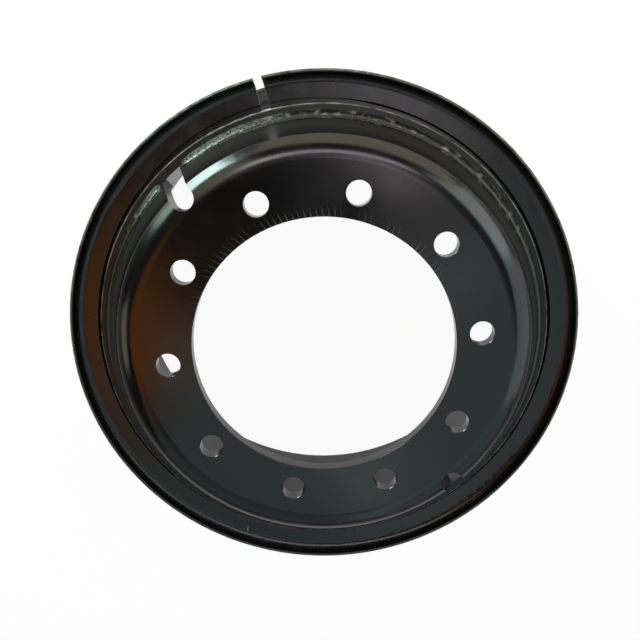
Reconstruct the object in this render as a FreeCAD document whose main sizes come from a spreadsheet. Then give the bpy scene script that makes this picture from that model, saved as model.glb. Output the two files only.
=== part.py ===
import FreeCAD, Part
import Sketcher
import math
import os

# Steel truck wheel of the 20-inch, two-piece, tube-type kind, lying on its fixed flange.
# The origin is on the wheel axis in the plane that the wheel rests on, and +Z is the axis,
# pointing to the side with the split side ring and the bulging disc.

doc = FreeCAD.newDocument("TruckWheel")
sizes = doc.addObject("Spreadsheet::Sheet", "Sizes")

# Driving dimensions: millimetres, and degrees for the names that end in angle or taper.
driving = [
    # Bead seats and both flanges: the seat radius is that of the 20-inch tyre bead
    ("seat_radius", 257.2),
    ("seat_taper", 5),
    ("rim_width", 178),
    ("heel_radius", 6),
    ("flange_land", 4.8),
    ("curl_radius", 16),
    ("lip_round", 1.6),
    ("lip_land", 0.5),
    ("channel_radius", 9.4),
    ("web_fall", 0.5),
    # Rim base with its gutter
    ("seat_rise", 4.7),
    ("base_wall", 6),
    ("bend_radius", 10),
    ("gutter_setback", 5),
    ("gutter_length", 39),
    ("gutter_runout", 8),
    ("gutter_wall", 5.5),
    ("tip_height", 4.5),
    ("tip_round", 1.6),
    ("groove_depth", 6),
    ("groove_length", 17.7),
    ("groove_slope_length", 6.3),
    ("valve_angle", 132.15),
    ("valve_slot_width", 16),
    ("valve_slot_length", 45),
    ("valve_slot_setback", 64),
    # Split side ring
    ("ring_clearance", 0.3),
    ("seam_gap", 4.3),
    ("toe_step", 6),
    ("ring_edge_round", 1),
    ("split_angle", 104),
    ("split_gap", 9),
    ("relief_depth", 2.4),
    ("relief_ease", 15),
    ("relief_angle", 9),
    # Disc
    ("disc_thickness", 14),
    ("disc_height", 44.3),
    ("disc_fit", 0.1),
    ("bore_radius", 140.5),
    ("bore_land", 14),
    ("stud_hole_radius", 13),
    ("stud_count", 10),
    ("shoulder_run", 12.5),
    ("shoulder_bend", 36),
    ("crease_drop", 8.3),
    ("crease_round", 2.5),
    ("wall_run", 19.4),
    ("wall_thickness", 10.5),
    ("wall_foot_setback", 3),
    ("skirt_length", 25),
    ("skirt_thickness", 9.5),
    ("skirt_bend", 10),
    ("edge_break", 1),
    ("stud_edge_break", 0.6),
    ("notch_width", 25),
    ("notch_reach", 8),
    # Share of a full half-round at the ends of the notches and of the valve slot
    ("end_fullness", 0.96),
    # Weld beads between the disc and the gutter
    ("weld_wall_run", 5.9),
    ("weld_face_leg", 2.5),
    ("weld_crown_height", 9.5),
    ("weld_round", 6),
    ("weld_setback", 1.5),
]
for row, (name, amount) in enumerate(driving, start=1):
    sizes.set(f"A{row}", name)
    sizes.set(f"B{row}", str(amount))
    sizes.setAlias(f"B{row}", name)
doc.recompute()

# Radii that several pieces share.
flange_radius = "(Sizes.seat_radius + Sizes.heel_radius + Sizes.flange_land + Sizes.curl_radius)"
lip_inner = f"({flange_radius} - 2 * Sizes.lip_round - Sizes.lip_land)"
base_radius = "(Sizes.seat_radius - Sizes.seat_rise)"
base_inner = f"({base_radius} - Sizes.base_wall)"
groove_radius = f"({base_radius} - Sizes.groove_depth)"
gutter_radius = f"({groove_radius} + Sizes.tip_height)"
gutter_bore = f"({groove_radius} - Sizes.gutter_wall)"
skirt_radius = f"({gutter_bore} - Sizes.disc_fit)"
crease_radius = f"({skirt_radius} - Sizes.wall_run)"
shoulder_radius = f"({crease_radius} - Sizes.shoulder_run)"
stud_circle = "(Sizes.bore_radius + Sizes.bore_land + Sizes.stud_hole_radius)"

# Heights that several pieces share, counted up from the plane that the wheel rests on.
flange_depth = "(Sizes.curl_radius + Sizes.lip_round + Sizes.lip_land)"
channel_depth = "(Sizes.channel_radius + Sizes.lip_round + Sizes.lip_land)"
front_face = f"({flange_depth} + Sizes.rim_width)"
lip_plane = f"(2 * {flange_depth} + Sizes.rim_width)"
web_edge = f"({lip_plane} - {channel_depth} - Sizes.web_fall)"
toe_front = f"({web_edge} - Sizes.toe_step)"
gutter_face = f"({lip_plane} - Sizes.gutter_setback)"
groove_front = f"({toe_front} + Sizes.ring_clearance)"
groove_rear = f"({groove_front} - Sizes.groove_length)"
slope_top = f"({groove_rear} - Sizes.groove_slope_length)"
disc_face = f"({lip_plane} + Sizes.disc_height)"
crease_height = f"({disc_face} - Sizes.crease_drop)"
wall_foot = f"({lip_plane} - Sizes.wall_foot_setback)"

taper = "tan(Sizes.seat_taper * 1 deg)"
wall_slope = f"(({crease_height} - {wall_foot}) / Sizes.wall_run)"


def number(expression):
    result = sizes.evalExpression(expression)
    return float(getattr(result, "Value", result))


def make_body(label):
    body = doc.addObject("PartDesign::Body", label)
    body.Label = label
    return body


def origin_feature(body, role):
    return [item for item in body.Origin.OriginFeatures if item.Role == role][0]


def make_sketch(body, name, role):
    sketch = body.newObject("Sketcher::SketchObject", name)
    sketch.AttachmentSupport = [(origin_feature(body, role), "")]
    sketch.MapMode = "FlatFace"
    return sketch


def turn_sketch(sketch, axis, angle):
    # Turn the sketch about one axis of its plane, by a bound angle.
    sketch.AttachmentOffset = FreeCAD.Placement(FreeCAD.Vector(), FreeCAD.Rotation(axis, 0.01))
    sketch.setExpression("AttachmentOffset.Rotation.Angle", angle)


def turn_body(body, angle):
    upright = FreeCAD.Vector(0, 0, 1)
    body.Placement = FreeCAD.Placement(FreeCAD.Vector(), FreeCAD.Rotation(upright, 0.01))
    body.setExpression("Placement.Rotation.Angle", angle)


def place_point(sketch, geometry, end, x, y):
    # Hold one point at a bound distance from the sketch origin; "0" lays it on the axis.
    for kind, expression, axis in (("DistanceX", x, -2), ("DistanceY", y, -1)):
        if expression == "0":
            sketch.addConstraint(Sketcher.Constraint("PointOnObject", geometry, end, axis))
            continue
        held = Sketcher.Constraint(kind, -1, 1, geometry, end, number(expression))
        sketch.setExpression(f"Constraints[{sketch.addConstraint(held)}]", expression)


def draw_profile(sketch, corners):
    # Closed outline through the corners (x, y, rounding); a rounded corner keeps its sharp
    # corner as a construction point, which carries the dimensions.
    count = len(corners)
    points = [FreeCAD.Vector(number(x), number(y), 0) for x, y, rounding in corners]
    ends = []
    for index, (x, y, rounding) in enumerate(corners):
        corner = points[index]
        before = (points[index - 1] - corner).normalize()
        after = (points[(index + 1) % count] - corner).normalize()
        if rounding is None:
            ends.append((corner, corner, None, before, after))
            continue
        half = before.getAngle(after) / 2
        reach = number(rounding) / math.tan(half)
        centre = corner + (before + after).normalize() * (number(rounding) / math.sin(half))
        ends.append((corner + before * reach, corner + after * reach, centre, before, after))
    lines = []
    for index in range(count):
        line = Part.LineSegment(ends[index][1], ends[(index + 1) % count][0])
        lines.append(sketch.addGeometry(line, False))
    for index, (x, y, rounding) in enumerate(corners):
        into, out = lines[index - 1], lines[index]
        start, stop, centre, before, after = ends[index]
        if centre is None:
            sketch.addConstraint(Sketcher.Constraint("Coincident", into, 2, out, 1))
            place_point(sketch, out, 1, x, y)
            continue
        turns_left = before.cross(after).z < 0
        first, last = (start, stop) if turns_left else (stop, start)
        circle = Part.Circle(centre, FreeCAD.Vector(0, 0, 1), number(rounding))
        arc_shape = Part.ArcOfCircle(circle, circle.parameter(first), circle.parameter(last))
        arc = sketch.addGeometry(arc_shape, False)
        at_start, at_stop = (1, 2) if turns_left else (2, 1)
        sketch.addConstraint(Sketcher.Constraint("Tangent", into, 2, arc, at_start))
        sketch.addConstraint(Sketcher.Constraint("Tangent", arc, at_stop, out, 1))
        radius = sketch.addConstraint(Sketcher.Constraint("Radius", arc, number(rounding)))
        sketch.setExpression(f"Constraints[{radius}]", rounding)
        sharp = sketch.addGeometry(Part.Point(points[index]), True)
        sketch.addConstraint(Sketcher.Constraint("PointOnObject", sharp, 1, into))
        sketch.addConstraint(Sketcher.Constraint("PointOnObject", sharp, 1, out))
        place_point(sketch, sharp, 1, x, y)


def draw_circle(sketch, x, y, radius):
    middle = FreeCAD.Vector(number(x), number(y), 0)
    circle = Part.Circle(middle, FreeCAD.Vector(0, 0, 1), number(radius))
    edge = sketch.addGeometry(circle, False)
    place_point(sketch, edge, 3, x, y)
    held = sketch.addConstraint(Sketcher.Constraint("Radius", edge, number(radius)))
    sketch.setExpression(f"Constraints[{held}]", radius)


def revolve(body, sketch, name, angle):
    turned = body.newObject("PartDesign::Revolution", name)
    turned.Profile = sketch
    turned.ReferenceAxis = (sketch, ["V_Axis"])
    turned.setExpression("Angle", angle)
    doc.recompute()
    return turned


def cut_through(body, sketch, name):
    # Cut through everything on the upper side of the sketch, and make sure it cuts.
    volume = body.Shape.Volume
    pocket = body.newObject("PartDesign::Pocket", name)
    pocket.Profile = sketch
    pocket.Type = "ThroughAll"
    pocket.Reversed = True
    doc.recompute()
    if body.Shape.Volume > volume - 1:
        raise RuntimeError(f"{name} removes nothing")
    return pocket


def pattern_round(body, feature, name, count):
    pattern = body.newObject("PartDesign::PolarPattern", name)
    pattern.Originals = [feature]
    pattern.Axis = (origin_feature(body, "Z_Axis"), [""])
    pattern.Angle = 360
    pattern.setExpression("Occurrences", count)
    body.Tip = pattern
    doc.recompute()
    return pattern


# Flange outline on the open side, shared by the side ring and, mirrored, by the rim base:
# curl on the tyre side, rounded lip, and a concave channel inside the lip.
def flange_corners(tyre_face, outwards):
    lip = f"({tyre_face} {outwards} {flange_depth})"
    back = "-" if outwards == "+" else "+"
    return [
        ("Sizes.seat_radius", tyre_face, "Sizes.heel_radius"),
        (flange_radius, tyre_face, "Sizes.curl_radius"),
        (flange_radius, "0" if outwards == "-" else lip, "Sizes.lip_round"),
        (lip_inner, "0" if outwards == "-" else lip, "Sizes.lip_round"),
        (lip_inner, f"{lip} {back} {channel_depth}", "Sizes.channel_radius"),
    ]


# Rim base: rolled and welded hoop with the fixed flange at the bottom, a tapered bead seat,
# a flat base, and at the top a thick gutter whose groove takes the toe of the side ring.
rim_base = make_body("rim_base")
base_sketch = make_sketch(rim_base, "base_section", "XZ_Plane")
draw_profile(base_sketch, [
    (gutter_bore, gutter_face, None),
    (gutter_radius, gutter_face, "Sizes.tip_round"),
    (gutter_radius, groove_front, "Sizes.tip_round"),
    (groove_radius, groove_front, "Sizes.tip_round"),
    (groove_radius, groove_rear, "Sizes.tip_round"),
    (base_radius, slope_top, "Sizes.tip_round"),
    (base_radius, f"{flange_depth} + Sizes.seat_rise / {taper}", None),
    *flange_corners(flange_depth, "-"),
    (base_inner, f"{channel_depth} + Sizes.web_fall", "Sizes.bend_radius"),
    (base_inner, f"{gutter_face} - Sizes.gutter_length - Sizes.gutter_runout", None),
    (gutter_bore, f"{gutter_face} - Sizes.gutter_length", None),
])
doc.recompute()
revolve(rim_base, base_sketch, "base_hoop", "360")

# Slot for the valve of the inner tube, below the disc notch that gives access to it.
slot_sketch = make_sketch(rim_base, "valve_slot_outline", "YZ_Plane")
slot_half = "Sizes.valve_slot_width / 2"
slot_round = f"Sizes.end_fullness * {slot_half}"
slot_top = f"({lip_plane} - Sizes.valve_slot_setback)"
slot_low = f"({slot_top} - Sizes.valve_slot_length)"
draw_profile(slot_sketch, [
    (f"-{slot_half}", slot_low, slot_round),
    (slot_half, slot_low, slot_round),
    (slot_half, slot_top, slot_round),
    (f"-{slot_half}", slot_top, slot_round),
])
doc.recompute()
cut_through(rim_base, slot_sketch, "valve_slot")
turn_body(rim_base, "Sizes.valve_angle")


# Side ring: one rolled section that is flange, front bead seat and lock toe.
ring_toe = f"({groove_radius} + Sizes.ring_clearance)"
ring_bore = f"({gutter_radius} + Sizes.seam_gap)"
heel_end = f"({slope_top} + Sizes.ring_clearance)"
side_ring = make_body("side_ring")
ring_sketch = make_sketch(side_ring, "ring_section", "XZ_Plane")
draw_profile(ring_sketch, [
    *flange_corners(front_face, "+"),
    (ring_bore, web_edge, "Sizes.ring_edge_round"),
    (ring_bore, toe_front, "Sizes.ring_edge_round"),
    (ring_toe, toe_front, "Sizes.ring_edge_round"),
    (ring_toe, f"{groove_rear} + Sizes.ring_clearance", "Sizes.ring_edge_round"),
    (f"{base_radius} + Sizes.ring_clearance", heel_end, None),
    (f"Sizes.seat_radius - ({front_face} - {heel_end}) * {taper}", heel_end, None),
])
doc.recompute()
revolve(side_ring, ring_sketch, "ring_hoop", "360")

# Long shallow relief in the inner edge of the web, deepest beside the split, where a tyre
# lever goes in.
relief_sketch = make_sketch(side_ring, "relief_outline", "XY_Plane")
relief_sketch.AttachmentOffset = FreeCAD.Placement(FreeCAD.Vector(), FreeCAD.Rotation())
relief_sketch.setExpression("AttachmentOffset.Base.z", toe_front)
relief_reach = "(Sizes.relief_ease + Sizes.relief_depth)"
relief_turn = "(Sizes.relief_angle * 1 deg)"
draw_circle(
    relief_sketch,
    f"{relief_reach} * cos{relief_turn}",
    f"{relief_reach} * sin{relief_turn}",
    f"{ring_bore} - Sizes.relief_ease",
)
doc.recompute()
cut_through(side_ring, relief_sketch, "relief")

# The split, with parallel sides.
split_sketch = make_sketch(side_ring, "split_outline", "XY_Plane")
split_half = "Sizes.split_gap / 2"
split_outer = f"{flange_radius} + Sizes.curl_radius"
draw_profile(split_sketch, [
    ("Sizes.bore_radius", f"-{split_half}", None),
    (split_outer, f"-{split_half}", None),
    (split_outer, split_half, None),
    ("Sizes.bore_radius", split_half, None),
])
doc.recompute()
cut_through(side_ring, split_sketch, "split")
turn_body(side_ring, "Sizes.split_angle")


# Disc: pressed from plate, flat at the studs, with a rounded shoulder, a crease, a steep wall
# and a short skirt that sits inside the gutter.
disc_back = f"({disc_face} - Sizes.disc_thickness)"
back_shoulder = f"({crease_radius} - Sizes.wall_thickness)"
skirt_inner = f"({skirt_radius} - Sizes.skirt_thickness)"
skirt_end = f"({wall_foot} - Sizes.skirt_length)"
wheel_disc = make_body("wheel_disc")
disc_sketch = make_sketch(wheel_disc, "disc_section", "XZ_Plane")
draw_profile(disc_sketch, [
    ("Sizes.bore_radius", disc_back, "Sizes.edge_break"),
    ("Sizes.bore_radius", disc_face, "Sizes.edge_break"),
    (shoulder_radius, disc_face, "Sizes.shoulder_bend"),
    (crease_radius, crease_height, "Sizes.crease_round"),
    (skirt_radius, wall_foot, None),
    (skirt_radius, skirt_end, "Sizes.edge_break"),
    (skirt_inner, skirt_end, "Sizes.edge_break"),
    (skirt_inner, f"{disc_back} - {wall_slope} * ({skirt_inner} - {back_shoulder})", "Sizes.skirt_bend"),
    (back_shoulder, disc_back, "Sizes.shoulder_bend"),
])
doc.recompute()
revolve(wheel_disc, disc_sketch, "disc_pressing", "360")

# Stud holes, the first one on the body's own X axis.
stud_sketch = make_sketch(wheel_disc, "stud_hole_outline", "XY_Plane")
draw_circle(stud_sketch, stud_circle, "0", "Sizes.stud_hole_radius")
doc.recompute()
stud_hole = cut_through(wheel_disc, stud_sketch, "stud_hole")
pattern_round(wheel_disc, stud_hole, "stud_holes", "Sizes.stud_count")

# Two notches opposite each other, midway between studs, open towards the gutter.
notch_sketch = make_sketch(wheel_disc, "notch_outline", "XY_Plane")
notch_half = "Sizes.notch_width / 2"
notch_round = f"Sizes.end_fullness * {notch_half}"
notch_end = f"({shoulder_radius} - Sizes.notch_reach)"
draw_profile(notch_sketch, [
    (notch_end, f"-{notch_half}", notch_round),
    (flange_radius, f"-{notch_half}", None),
    (flange_radius, notch_half, None),
    (notch_end, notch_half, notch_round),
])
turn_sketch(notch_sketch, FreeCAD.Vector(0, 0, 1), "180 / Sizes.stud_count")
doc.recompute()
notch = cut_through(wheel_disc, notch_sketch, "notch")
notches = pattern_round(wheel_disc, notch, "notches", "2")

# The stud holes have lightly broken edges.
hole_edges = []
for index, edge in enumerate(notches.Shape.Edges, start=1):
    is_circle = isinstance(edge.Curve, Part.Circle)
    if is_circle and abs(edge.Curve.Radius - number("Sizes.stud_hole_radius")) < 0.001:
        hole_edges.append(f"Edge{index}")
broken = wheel_disc.newObject("PartDesign::Chamfer", "stud_hole_edges")
broken.Base = (notches, hole_edges)
broken.setExpression("Size", "Sizes.stud_edge_break")
wheel_disc.Tip = broken
doc.recompute()
turn_body(wheel_disc, "Sizes.valve_angle - 180 / Sizes.stud_count")


# Two weld beads between the disc wall and the face of the gutter, one on each side of the
# line through the notches.
weld_toe = f"({wall_foot} + {wall_slope} * Sizes.weld_wall_run)"
weld_face_edge = f"{gutter_bore} + Sizes.weld_face_leg"
weld_half_gap = f"asin((Sizes.notch_width / 2 + Sizes.weld_setback) / {gutter_bore})"
for label, first_angle in (("disc_weld_lower", "0"), ("disc_weld_upper", "180")):
    weld = make_body(label)
    weld_sketch = make_sketch(weld, f"{label}_section", "XZ_Plane")
    draw_profile(weld_sketch, [
        (f"{skirt_radius} - Sizes.weld_wall_run", weld_toe, None),
        (skirt_radius, wall_foot, None),
        (skirt_radius, gutter_face, None),
        (weld_face_edge, gutter_face, None),
        (weld_face_edge, f"{gutter_face} + Sizes.weld_crown_height", "Sizes.weld_round"),
    ])
    doc.recompute()
    revolve(weld, weld_sketch, f"{label}_bead", f"180 deg - 2 * {weld_half_gap}")
    turn_body(weld, f"Sizes.valve_angle * 1 deg + {first_angle} deg + {weld_half_gap}")

doc.recompute()

pieces = [item for item in doc.Objects if item.TypeId == "PartDesign::Body"]
failed = [item.Name for item in doc.Objects if "Invalid" in item.State or "Error" in item.State]
if failed:
    raise RuntimeError(f"failed: {failed}")
for piece in pieces:
    if piece.Shape.isNull() or not piece.Shape.isValid() or len(piece.Shape.Solids) != 1:
        raise RuntimeError(f"{piece.Label} isn't one valid solid")

os.makedirs("parts", exist_ok=True)
for piece in pieces:
    piece.Shape.exportStep(f"parts/{piece.Label}.step")
    box = piece.Shape.BoundBox
    sides = [round(side, 2) for side in (box.XLength, box.YLength, box.ZLength)]
    print(piece.Label, round(piece.Shape.Volume), sides)
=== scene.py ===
import bpy
import math
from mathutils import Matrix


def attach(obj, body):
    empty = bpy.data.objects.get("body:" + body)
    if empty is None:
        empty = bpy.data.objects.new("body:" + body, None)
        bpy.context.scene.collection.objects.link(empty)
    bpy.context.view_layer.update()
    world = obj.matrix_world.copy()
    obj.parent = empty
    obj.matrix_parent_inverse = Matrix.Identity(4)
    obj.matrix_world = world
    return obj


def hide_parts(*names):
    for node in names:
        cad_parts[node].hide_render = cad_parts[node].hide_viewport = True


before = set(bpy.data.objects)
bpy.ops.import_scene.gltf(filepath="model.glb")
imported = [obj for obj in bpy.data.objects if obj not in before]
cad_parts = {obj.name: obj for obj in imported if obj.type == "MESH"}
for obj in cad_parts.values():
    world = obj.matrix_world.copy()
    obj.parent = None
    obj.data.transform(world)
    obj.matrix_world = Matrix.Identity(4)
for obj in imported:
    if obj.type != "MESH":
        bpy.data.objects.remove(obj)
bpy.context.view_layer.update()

# Lengths are in metres, and in millimetres where the name ends in Mm
mmPerMetre = 1000
print("frame loaded:", len(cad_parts), "nodes")


def hexToLinear(code):
    channels = [int(code[i:i + 2], 16) / 255 for i in (1, 3, 5)]
    linear = [c / 12.92 if c <= 0.04045 else ((c + 0.055) / 1.055) ** 2.4 for c in channels]
    return linear + [1.0]


# One node with its settings. A link is a pair of node and output, anything else is a value;
# i0, i1 and so on are sockets by number, other names are sockets by label
def addNode(tree, kind, settings=None, **links):
    node = tree.nodes.new(kind)
    for key, value in (settings or {}).items():
        setattr(node, key, value)
    for key, value in links.items():
        numbered = key[0] == "i" and key[1:].isdigit()
        socket = node.inputs[int(key[1:]) if numbered else key.replace("_", " ")]
        if isinstance(value, tuple) and hasattr(value[0], "outputs"):
            tree.links.new(value[0].outputs[value[1]], socket)
        else:
            socket.default_value = value
    return node


def addMath(tree, operation, *values, kind="ShaderNodeMath"):
    links = {"i" + str(number): value for number, value in enumerate(values)}
    return addNode(tree, kind, {"operation": operation}, **links)


def addVectorMath(tree, operation, *values):
    return addMath(tree, operation, *values, kind="ShaderNodeVectorMath")


def newMaterial(name):
    material = bpy.data.materials.new(name)
    material.use_nodes = True
    material.node_tree.nodes.clear()
    return material


# Camera: fitted to the ten stud holes, the bore and the outline
cameraSettings = {
    "place": (-0.0045, 0.2377, 0.9617),
    "tiltDegrees": -16.26,
    "lens": 39.375,
    "sensorWidth": 36,
    "clipEnd": 50,
}
bpy.ops.object.select_all(action="DESELECT")
cameraTurn = (math.radians(cameraSettings["tiltDegrees"]), 0, 0)
bpy.ops.object.camera_add(location=cameraSettings["place"], rotation=cameraTurn)
camera = bpy.context.object
camera.name = "photoCamera"
camera.data.lens = cameraSettings["lens"]
camera.data.sensor_width = cameraSettings["sensorWidth"]
camera.data.clip_end = cameraSettings["clipEnd"]
bpy.context.scene.camera = camera


# Floor: matt white paper, plain white to the eye with a faint shadow under the wheel
floorSettings = {
    "size": 8.0,
    "height": -0.0004,  # a hair below the wheel
    "colour": "#f4f4f4",
    "whiteShare": 0.94,
}
floorPlace = (0, 0, floorSettings["height"])
bpy.ops.mesh.primitive_plane_add(size=floorSettings["size"], location=floorPlace)
floor = bpy.context.object
floor.name = "paperFloor"
paper = newMaterial("matt white paper")
tree = paper.node_tree
lightPath = addNode(tree, "ShaderNodeLightPath")
direct = addMath(tree, "MAXIMUM", (lightPath, "Is Camera Ray"), (lightPath, "Is Glossy Ray"))
seen = addMath(tree, "MAXIMUM", (direct, 0), (lightPath, "Is Transmission Ray"))
share = addMath(tree, "MULTIPLY", (seen, 0), floorSettings["whiteShare"])
matt = addNode(tree, "ShaderNodeBsdfDiffuse", Color=hexToLinear(floorSettings["colour"]))
white = addNode(tree, "ShaderNodeEmission", Strength=1.0)
paperMix = addNode(tree, "ShaderNodeMixShader", i0=(share, 0), i1=(matt, 0), i2=(white, 0))
addNode(tree, "ShaderNodeOutputMaterial", Surface=(paperMix, 0))
floor.data.materials.append(paper)
print("camera and floor ready")


# Studio: soft panels around a dim room; degrees from +X and above the floor
studio = {
    "windowPanel": {
        "azimuth": 134, "height": 27, "distance": 2.2,
        "size": (0.6, 0.8), "radiance": 26.0, "colour": "#e0fff6",
    },
    "windowEdge": {
        "azimuth": 152, "height": 27, "distance": 2.2,
        "size": (0.4, 0.8), "radiance": 6.0, "colour": "#e0fff6",
    },
    "topPanel": {
        "azimuth": 88, "height": 67, "distance": 2.0,
        "size": (1.3, 0.34), "radiance": 5.5, "colour": "#f6f2ff",
    },
    "backWall": {
        "azimuth": 78, "height": 25, "distance": 2.4,
        "size": (3.0, 1.6), "radiance": 2.2, "colour": "#ece8cc",
    },
    "leftPanel": {
        "azimuth": 194, "height": 25, "distance": 2.0,
        "size": (0.62, 0.6), "radiance": 1.6, "colour": "#fff2e4",
    },
    "warmPanel": {
        "azimuth": 207, "height": 58, "distance": 2.1,
        "size": (0.8, 0.9), "radiance": 1.2, "colour": "#ff9400",
    },
    "lowPanel": {
        "azimuth": 254, "height": 32, "distance": 2.4,
        "size": (2.4, 1.62), "radiance": 0.44, "colour": "#e6f6fa",
    },
    "nearPanel": {
        "azimuth": 260, "height": 62, "distance": 2.2,
        "size": (1.0, 0.8), "radiance": 0.72, "colour": "#e2f8fc",
    },
    "frontPanel": {
        "azimuth": 306, "height": 61, "distance": 2.2,
        "size": (1.3, 1.2), "radiance": 0.76, "colour": "#e0f2f6",
    },
    "ceilingPanel": {
        "azimuth": 330, "height": 76, "distance": 2.0,
        "size": (0.5, 0.4), "radiance": 0.5, "colour": "#fff8ff",
    },
    "zenithPanel": {
        "azimuth": 42, "height": 79, "distance": 2.0,
        "size": (0.5, 0.46), "radiance": 2.3, "colour": "#fff8fc",
    },
    "cornerPanel": {
        "azimuth": 303, "height": 30, "distance": 2.2,
        "size": (1.8, 1.4), "radiance": 0.65, "colour": "#e2f4f8",
    },
    "skyPanel": {
        "azimuth": 134, "height": 58, "distance": 2.2,
        "size": (0.7, 1.1), "radiance": 2.0, "colour": "#f0e6c8",
    },
    "sidePanel": {
        "azimuth": 350, "height": 30, "distance": 2.0,
        "size": (1.5, 1.4), "radiance": 1.6, "colour": "#ecf6fa",
    },
    "rightPanel": {
        "azimuth": 26, "height": 36, "distance": 2.0,
        "size": (0.9, 1.3), "radiance": 4.0, "colour": "#e8efee",
    },
}
aimHeight = 0.2  # the panels face the wheel's upper side
quarterTurn = math.pi / 2
for lampName, lamp in studio.items():
    azimuth, height = math.radians(lamp["azimuth"]), math.radians(lamp["height"])
    flat = lamp["distance"] * math.cos(height)
    rise = aimHeight + lamp["distance"] * math.sin(height)
    place = (flat * math.cos(azimuth), flat * math.sin(azimuth), rise)
    turn = (quarterTurn - height, 0, azimuth + quarterTurn)
    bpy.ops.object.light_add(type="AREA", location=place, rotation=turn)
    light = bpy.context.object
    light.name = lampName
    light.data.shape = "RECTANGLE"
    light.data.size, light.data.size_y = lamp["size"]
    light.data.energy = lamp["radiance"] * math.pi * lamp["size"][0] * lamp["size"][1]
    light.data.color = hexToLinear(lamp["colour"])[:3]

# Room: pale walls near the horizon, a dim ceiling, and shade on the near side;
# the limits are parts of a direction of length 1
roomLook = {
    "wallTop": 0.06, "wallColour": "#f0f0f0",
    "ceilingFrom": 0.24, "ceilingColour": "#262428",
    "shadeTo": -0.6, "lightFrom": 0.2, "shadeShare": 0.25,
    "backdrop": 0.94,
}
room = bpy.data.worlds.new("studioRoom")
bpy.context.scene.world = room
room.use_nodes = True
tree = room.node_tree
tree.nodes.clear()
direction = addNode(tree, "ShaderNodeTexCoord")
split = addNode(tree, "ShaderNodeSeparateXYZ", Vector=(direction, "Generated"))
ramp = addNode(tree, "ShaderNodeValToRGB", Fac=(split, "Z"))
wallStop, ceilingStop = ramp.color_ramp.elements
wallStop.position = roomLook["wallTop"]
wallStop.color = hexToLinear(roomLook["wallColour"])
ceilingStop.position = roomLook["ceilingFrom"]
ceilingStop.color = hexToLinear(roomLook["ceilingColour"])
shade = addNode(
    tree, "ShaderNodeMapRange", Value=(split, "Y"), From_Min=roomLook["shadeTo"],
    From_Max=roomLook["lightFrom"], To_Min=roomLook["shadeShare"], To_Max=1.0)
wall = addNode(tree, "ShaderNodeBackground", Color=(ramp, 0), Strength=(shade, 0))
# The camera sees plain white behind the floor
backdrop = addNode(tree, "ShaderNodeBackground", Strength=roomLook["backdrop"])
lightPath = addNode(tree, "ShaderNodeLightPath")
roomMix = addNode(
    tree, "ShaderNodeMixShader",
    i0=(lightPath, "Is Camera Ray"), i1=(wall, 0), i2=(backdrop, 0))
addNode(tree, "ShaderNodeOutputWorld", Surface=(roomMix, 0))
bpy.context.scene.view_settings.view_transform = "Standard"
print("studio ready")


# Fades from 0 at low to 1 at high; the other way round where low is the larger
def fade(tree, source, low, high):
    return addNode(
        tree, "ShaderNodeMapRange", Value=source,
        From_Min=low, From_Max=high, To_Min=0.0, To_Max=1.0)


def product(tree, *masks):
    result = masks[0]
    for mask in masks[1:]:
        result = addMath(tree, "MULTIPLY", (result, 0), (mask, 0))
    return result


def addNoise(tree, place, sizeMm, detail):
    return addNode(
        tree, "ShaderNodeTexNoise",
        Vector=(place, "Object"), Scale=mmPerMetre / sizeMm, Detail=detail)


def addBump(tree, height, strength, distance, **under):
    return addNode(
        tree, "ShaderNodeBump", Height=(height, "Fac"),
        Strength=strength, Distance=distance, **under)


# Colours go into sockets 6 and 7, and the mix comes out of output 2
def mixColour(tree, mask, under, over):
    return addNode(
        tree, "ShaderNodeMix", {"data_type": "RGBA"},
        i0=(mask, 0), i6=under, i7=hexToLinear(over))


def partsOf(tree, place):
    return addNode(tree, "ShaderNodeSeparateXYZ", Vector=(place, "Object"))


# The place without its height
def flatPlace(tree, place, output="Object"):
    return addVectorMath(tree, "MULTIPLY", (place, output), (1, 1, 0))


# Distance from the wheel axis, on output 1
def axisDistance(tree, place, output="Object"):
    return addVectorMath(tree, "LENGTH", (flatPlace(tree, place, output), 0))


# Rolling or pressing marks: spots stretched along a radius or around the wheel
def addStreaks(tree, place, look):
    across, around = look["streakMm"]
    outward = addVectorMath(tree, "NORMALIZE", (flatPlace(tree, place), 0))
    depth = addMath(tree, "MULTIPLY", (axisDistance(tree, place), 1), mmPerMetre / across)
    step = addNode(tree, "ShaderNodeCombineXYZ", Z=(depth, 0))
    turns = look["streakRadiusMm"] / around
    grid = addVectorMath(tree, "MULTIPLY_ADD", (outward, 0), (turns, turns, 0), (step, 0))
    return addNode(tree, "ShaderNodeTexNoise", Vector=(grid, 0), Scale=1.0, Detail=2.0)


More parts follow.
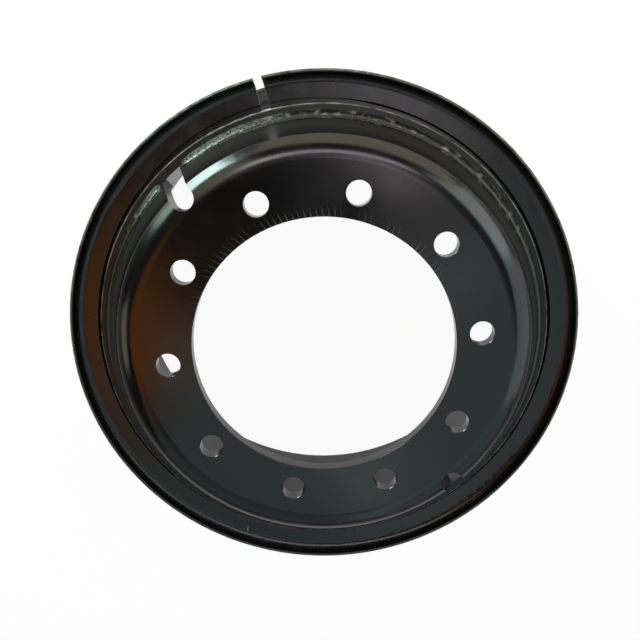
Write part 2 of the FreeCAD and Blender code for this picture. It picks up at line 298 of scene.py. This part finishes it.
# Black stoving paint on steel: deep black with a soft sheen, fine orange peel, a few specks of
# dust, and each part's marks: grey steel where worn, duller paint, and painted highlights,
# reflection and light
def makePaint(name, look, wearAndLightMasks):
    material = newMaterial(name)
    tree = material.node_tree
    place = addNode(tree, "ShaderNodeTexCoord")
    peel = addNoise(tree, place, look["peelMm"], detail=2.0)
    wave = addNoise(tree, place, look["waveMm"], detail=1.0)
    cloud = addNoise(tree, place, look["cloudMm"], detail=4.0)
    rough = addNode(
        tree, "ShaderNodeMapRange", Value=(cloud, "Fac"),
        From_Min=look["cloudRange"][0], From_Max=look["cloudRange"][1],
        To_Min=look["rough"][0], To_Max=look["rough"][1])
    waved = addBump(tree, wave, look["waveStrength"], look["waveHeight"])
    peeled = addBump(
        tree, peel, look["peelStrength"], look["peelHeight"], Normal=(waved, 0))
    streaked = addBump(
        tree, addStreaks(tree, place, look), look["streakStrength"], look["streakHeight"],
        Normal=(peeled, 0))
    grains = addNode(
        tree, "ShaderNodeTexVoronoi",
        Vector=(place, "Object"), Scale=mmPerMetre / look["speckSpacingMm"])
    speckCore = look["speckSize"] * look["speckCoreShare"]
    speck = fade(tree, (grains, "Distance"), look["speckSize"], speckCore)
    colour = mixColour(tree, speck, hexToLinear(look["colour"]), look["speckColour"])
    # The marks mix real wear with painted highlights, painted reflection and painted light, as
    # each part lists them
    for markMask, markColour, markRough in wearAndLightMasks(tree, place):
        rough = addNode(tree, "ShaderNodeMix", i0=(markMask, 0), i2=(rough, 0), i3=markRough)
        colour = mixColour(tree, markMask, (colour, 2), markColour)
    paint = addNode(
        tree, "ShaderNodeBsdfPrincipled",
        Base_Color=(colour, 2), Roughness=(rough, 0), IOR=look["ior"],
        Specular_IOR_Level=look["sheen"], Normal=(streaked, 0))
    addNode(tree, "ShaderNodeOutputMaterial", Surface=(paint, 0))
    return material


# The ring's split: where it is, how far from its middle the worn cut ends reach, and how far
# the painted light on the hoop reaches
splitLook = {
    "degrees": 104.0,
    "ringReach": 0.0051, "hoopLightReach": 0.0056, "softEdge": 0.0004,
    "sideFade": (0.10, 0.11),  # keeps the far side of the wheel out
}


# 1 within reach of the plane through the split, on the split's side of the wheel
def splitMask(tree, place, reach):
    turned = addNode(
        tree, "ShaderNodeMapping", Vector=(place, "Object"),
        Rotation=(0, 0, -math.radians(splitLook["degrees"])))
    parts = addNode(tree, "ShaderNodeSeparateXYZ", Vector=(turned, 0))
    away = addMath(tree, "ABSOLUTE", (parts, "Y"))
    softEdge = splitLook["softEdge"]
    near = fade(tree, (away, 0), reach + softEdge, reach - softEdge)
    return product(tree, near, fade(tree, (parts, "X"), *splitLook["sideFade"]))


paintLook = {
    "sheen": 0.5, "ior": 1.5, "cloudRange": (0.3, 0.7),
    "peelMm": 2.2, "peelStrength": 0.3, "peelHeight": 0.00005,
    "waveMm": 60, "waveStrength": 0.2, "waveHeight": 0.0006,
    "streakRadiusMm": 220, "streakHeight": 0.00004, "speckCoreShare": 0.6,
}

discLook = {
    **paintLook,
    "colour": "#080707", "rough": (0.15, 0.22), "cloudMm": 45,
    "streakMm": (14, 1.4), "streakStrength": 0.35,
    "speckSpacingMm": 18, "speckSize": 0.022, "speckColour": "#5c5c5a",
    "bore": 0.1405, "tickColour": "#40403f",
    "tickSpacing": 0.006, "tickWidth": 0.0016, "tickLength": 0.013, "tickFull": 0.002,
    "tickSlant": -1.5,  # radians per metre
    "tickRise": (0.03, 0.11), "tickPatchMm": 22, "tickPatches": (0.38, 0.6),
    # Wall: rougher paint, and a lighter colour that is a painted reflection
    "wallDullAndReflectionFade": (0.2215, 0.2300), "wallColour": "#14120f", "wallRough": 0.42,
}


# Faint tool marks on the upper half of the face beside the bore, and duller paint on the wall
# whose lighter colour is a painted reflection, fading in from the crease toward the weld
def discWear(tree, place):
    parts = partsOf(tree, place)
    radius = axisDistance(tree, place)
    bore = discLook["bore"]
    angle = addMath(tree, "ARCTAN2", (parts, "Y"), (parts, "X"))
    slant = addMath(tree, "MULTIPLY_ADD", (radius, 1), discLook["tickSlant"], (angle, 0))
    arc = addMath(tree, "MULTIPLY", (slant, 0), bore)
    tooth = addMath(tree, "PINGPONG", (arc, 0), discLook["tickSpacing"] / 2)
    line = fade(tree, (tooth, 0), discLook["tickWidth"] / 2, 0.0)
    inside = fade(
        tree, (radius, 1), bore + discLook["tickLength"], bore + discLook["tickFull"])
    upper = fade(tree, (parts, "Y"), *discLook["tickRise"])
    uneven = addNoise(tree, place, discLook["tickPatchMm"], detail=2.0)
    strong = fade(tree, (uneven, "Fac"), *discLook["tickPatches"])
    ticks = product(tree, line, inside, upper, strong)
    # Painted reflection: the wall's lighter colour fades in from the crease toward the weld
    wall = fade(tree, (radius, 1), *discLook["wallDullAndReflectionFade"])
    return [
        (ticks, discLook["tickColour"], discLook["rough"][1]),
        (wall, discLook["wallColour"], discLook["wallRough"]),
    ]


ringLook = {
    **paintLook,
    "colour": "#090808", "rough": (0.22, 0.3), "cloudMm": 25,
    "peelMm": 1.8, "peelStrength": 0.5,
    "streakMm": (0.9, 30), "streakStrength": 0.5,
    "speckSpacingMm": 5, "speckSize": 0.03, "speckColour": "#454442",
    # Lip: a painted highlight in uneven patches along its edge
    "lipRadius": (0.2812, 0.2826), "lipHeight": (0.2122, 0.2136),
    "lipPatchMm": 14, "lipPatches": (0.3, 0.6), "lipHighlightColour": "#55534a",
    "endColour": "#3d3b38",
    "scratchPlace": (-0.0936, -0.2533, 0), "scratchDegrees": 86.0,
    "scratchHalf": (0.0042, 0.0004, 1), "scratchFade": (1.1, 0.7),
    "scratchColour": "#8a8a86",
}


# Painted highlight in patches along the lip edge, grey steel at the cut ends of the split, and
# one scratch
def ringWear(tree, place):
    radius = axisDistance(tree, place)
    uneven = addNoise(tree, place, ringLook["lipPatchMm"], detail=4.0)
    # Painted highlight: the lip edge is lightened in uneven patches all round
    lip = product(
        tree, fade(tree, (radius, 1), *ringLook["lipRadius"]),
        fade(tree, (partsOf(tree, place), "Z"), *ringLook["lipHeight"]),
        fade(tree, (uneven, "Fac"), *ringLook["lipPatches"]))
    cutEnds = splitMask(tree, place, splitLook["ringReach"])
    along = addNode(
        tree, "ShaderNodeMapping", {"vector_type": "TEXTURE"}, Vector=(place, "Object"),
        Location=ringLook["scratchPlace"], Scale=ringLook["scratchHalf"],
        Rotation=(0, 0, math.radians(ringLook["scratchDegrees"])))
    scratch = fade(tree, (axisDistance(tree, along, 0), 1), *ringLook["scratchFade"])
    dull = ringLook["rough"][1]
    return [
        (lip, ringLook["lipHighlightColour"], dull),
        (cutEnds, ringLook["endColour"], dull),
        (scratch, ringLook["scratchColour"], dull),
    ]


baseLook = {
    **paintLook,
    "sheen": 0.34, "colour": "#0a0908", "rough": (0.3, 0.42), "cloudMm": 25,
    "streakMm": (0.9, 30), "streakStrength": 0.35,
    "speckSpacingMm": 18, "speckSize": 0.022, "speckColour": "#5c5c5a",
    # Gutter tip: rubbed paint and a painted highlight on its rounded edge
    "tipRadius": (0.2494, 0.2504), "tipHeight": (0.2045, 0.2075),
    "tipPatchMm": 12, "tipPatches": (0.3, 0.65), "tipWearAndHighlightColour": "#77746c",
    # Painted light on the hoop seen down through the split
    "splitRadius": (0.2444, 0.2454), "splitBottom": (0.165, 0.17),
    "splitTop": (0.2088, 0.2080), "splitLightColour": "#a89f92",
}


# Gutter tip: rubbed paint with a painted highlight; under the split, painted light on the hoop
# where it lies open
def baseWear(tree, place):
    parts = partsOf(tree, place)
    radius = axisDistance(tree, place)
    uneven = addNoise(tree, place, baseLook["tipPatchMm"], detail=4.0)
    # Rubbed paint on the gutter tip, lightened further as a painted highlight of its rounded
    # edge
    tip = product(
        tree, fade(tree, (radius, 1), *baseLook["tipRadius"]),
        fade(tree, (parts, "Z"), *baseLook["tipHeight"]),
        fade(tree, (uneven, "Fac"), *baseLook["tipPatches"]))
    # Painted light: the hoop under the split is lightened to stand for light reaching down
    # into the slot
    splitLight = product(
        tree, splitMask(tree, place, splitLook["hoopLightReach"]),
        fade(tree, (parts, "Z"), *baseLook["splitBottom"]),
        fade(tree, (parts, "Z"), *baseLook["splitTop"]),
        fade(tree, (radius, 1), *baseLook["splitRadius"]))
    dull = baseLook["rough"][1]
    return [(tip, baseLook["tipWearAndHighlightColour"], dull), (splitLight, baseLook["splitLightColour"], dull)]


paints = {
    "wheel_disc": makePaint("black stoving paint on pressed plate", discLook, discWear),
    "side_ring": makePaint("black stoving paint on rolled ring", ringLook, ringWear),
    "rim_base": makePaint("black stoving paint on rolled hoop", baseLook, baseWear),
}
for nodeName, paint in paints.items():
    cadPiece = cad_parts[nodeName]
    for spot in cadPiece.material_slots:
        spot.material = paint
print("paint on the CAD pieces")


# Weld runs: lumpy beads under thin paint, between the disc wall and the gutter face
weldLook = {
    "section": (0.2392, 0.0, 0.2150),
    "halfWidth": 0.0042,
    "halfHeight": 0.0082,
    "lean": 26.0,
    "runs": {"disc_weld_lower": (135.9, 172.5), "disc_weld_upper": (315.9, 172.5)},
    "sectionPoints": 24,
    "steps": 560,
    "mergeWithin": 0.00001,
    "endTaper": 0.007,
    "smoothBelow": 0.07, "roughRise": 0.06, "leastRough": 0.2,
    "lumpMm": 13.0,
    "lumpHeight": 0.0014,
    "rippleMm": 3.4,
    "rippleHeight": 0.0005,
    "colour": "#12110f", "metallic": 0.1, "rough": 0.27,
    # Grey crests: metal showing through, with painted reflection stronger on the upper side
    "patchMm": 11.0, "barePatches": (0.52, 0.66), "bareAndGlintRise": (0.07, 0.15),
    "bareAndGlintColour": "#625e56",
    "grainMm": 1.6, "grainStrength": 0.35, "grainHeight": 0.0004,
    # Open end of the upper run: painted reflection with metal showing through
    "openLeft": (-0.03, -0.09), "openRise": (0.13, 0.16), "openGrain": (0.42, 0.58),
    "openEndGlintColour": "#6a706a",
    # Undercut: a broken line of painted shade
    "undercutOuter": (0.2391, 0.2383), "undercutInner": (0.2362, 0.2370),
    "undercutPatches": (0.4, 0.5), "undercutShadeColour": "#030303",
}


# Thin black paint over rough weld metal: painted shade along the undercut, and grey crests,
# partly metal showing through and partly painted reflection
def makeWeldPaint():
    material = newMaterial("thin black paint on rough weld metal")
    tree = material.node_tree
    place = addNode(tree, "ShaderNodeTexCoord")
    parts = partsOf(tree, place)
    radius = axisDistance(tree, place)
    patches = addNoise(tree, place, weldLook["patchMm"], detail=5.0)
    grain = addNoise(tree, place, weldLook["grainMm"], detail=3.0)
    # Grey crests: metal showing through, lifted on the upper side as painted reflection
    bareAndGlint = product(
        tree, fade(tree, (patches, "Fac"), *weldLook["barePatches"]),
        fade(tree, (parts, "Y"), *weldLook["bareAndGlintRise"]))
    # Metal showing through and painted reflection near the open end of the upper run, toward
    # the upper left
    openEndGlint = product(
        tree, fade(tree, (parts, "X"), *weldLook["openLeft"]),
        fade(tree, (parts, "Y"), *weldLook["openRise"]),
        fade(tree, (grain, "Fac"), *weldLook["openGrain"]))
    # Broken painted shade along the undercut on the inner side of the bead
    undercut = product(
        tree, fade(tree, (radius, 1), *weldLook["undercutOuter"]),
        fade(tree, (radius, 1), *weldLook["undercutInner"]),
        fade(tree, (patches, "Fac"), *weldLook["undercutPatches"]))
    colour = mixColour(tree, bareAndGlint, hexToLinear(weldLook["colour"]), weldLook["bareAndGlintColour"])
    colour = mixColour(tree, openEndGlint, (colour, 2), weldLook["openEndGlintColour"])
    colour = mixColour(tree, undercut, (colour, 2), weldLook["undercutShadeColour"])
    bump = addBump(tree, grain, weldLook["grainStrength"], weldLook["grainHeight"])
    skin = addNode(
        tree, "ShaderNodeBsdfPrincipled", Base_Color=(colour, 2),
        Metallic=weldLook["metallic"], Roughness=weldLook["rough"], Normal=(bump, 0))
    addNode(tree, "ShaderNodeOutputMaterial", Surface=(skin, 0))
    return material


# An upright ellipse, leaned and swept around the wheel axis; rotate and spin turn the other
# way here, so both angles are negative
def sweepBead(name, startDegrees, sweepDegrees):
    bpy.ops.object.select_all(action="DESELECT")
    bpy.ops.mesh.primitive_circle_add(
        vertices=weldLook["sectionPoints"], radius=1.0, location=weldLook["section"],
        rotation=(quarterTurn, 0, 0))
    bead = bpy.context.object
    bead.name = name
    bead.scale = (weldLook["halfWidth"], weldLook["halfHeight"], 1)
    bead.rotation_euler = (quarterTurn, -math.radians(weldLook["lean"]), 0)
    bpy.ops.object.transform_apply(location=True, rotation=True, scale=True)
    bpy.ops.object.mode_set(mode="EDIT")
    bpy.ops.mesh.select_all(action="SELECT")
    bpy.ops.transform.rotate(
        value=-math.radians(startDegrees), orient_axis="Z", center_override=(0, 0, 0))
    bpy.ops.mesh.edge_face_add()
    bpy.ops.mesh.spin(
        steps=weldLook["steps"], angle=-math.radians(sweepDegrees),
        center=(0, 0, 0), axis=(0, 0, 1))
    bpy.ops.mesh.select_all(action="SELECT")
    bpy.ops.mesh.remove_doubles(threshold=weldLook["mergeWithin"])
    bpy.ops.mesh.normals_make_consistent(inside=False)
    bpy.ops.object.mode_set(mode="OBJECT")
    return bead


# Lumps and ripples: full on the upper side of the wheel, nearly smooth on the lower
def roughenBead(bead, runName):
    groupName = "roughPart"
    group = bead.vertex_groups.new(name=groupName)
    for vertex in bead.data.vertices:
        upper = (vertex.co.y - weldLook["smoothBelow"]) / weldLook["roughRise"]
        group.add([vertex.index], min(max(upper, weldLook["leastRough"]), 1.0), "REPLACE")
    for label, sizeMm, height in (
        ("lumps", weldLook["lumpMm"], weldLook["lumpHeight"]),
        ("ripples", weldLook["rippleMm"], weldLook["rippleHeight"]),
    ):
        clouds = bpy.data.textures.new(runName + label, "CLOUDS")
        clouds.noise_scale = sizeMm / mmPerMetre
        shake = bead.modifiers.new(label, "DISPLACE")
        shake.texture = clouds
        shake.texture_coords = "LOCAL"
        shake.vertex_group = groupName
        shake.strength = height
        shake.mid_level = 0.5  # as far in as out
        bpy.ops.object.modifier_apply(modifier=label)
    bead.vertex_groups.clear()


# The bead swells from nothing over its first and last few millimetres
def roundEnds(bead, startDegrees, sweepDegrees):
    coreRadius, coreHeight = weldLook["section"][0], weldLook["section"][2]
    taper = math.degrees(weldLook["endTaper"] / coreRadius)
    for vertex in bead.data.vertices:
        angle = math.degrees(math.atan2(vertex.co.y, vertex.co.x))
        along = (angle - startDegrees) % 360
        if along > 270:  # a hair before the start, so nearly a full turn
            along = 0.0
        left = min(max(min(along, sweepDegrees - along), 0.0), taper) / taper
        swell = math.sqrt(1 - (1 - left) ** 2)
        radius = math.hypot(vertex.co.x, vertex.co.y)
        pulled = (coreRadius + (radius - coreRadius) * swell) / radius
        vertex.co.x *= pulled
        vertex.co.y *= pulled
        vertex.co.z = coreHeight + (vertex.co.z - coreHeight) * swell


weldPaint = makeWeldPaint()
for runName, (startDegrees, sweepDegrees) in weldLook["runs"].items():
    bead = sweepBead(runName + "_bead", startDegrees, sweepDegrees)
    roughenBead(bead, runName)
    roundEnds(bead, startDegrees, sweepDegrees)
    bpy.ops.object.shade_smooth()
    bead.data.materials.append(weldPaint)
    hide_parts(runName)
    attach(bead, "root")
print("weld runs ready")
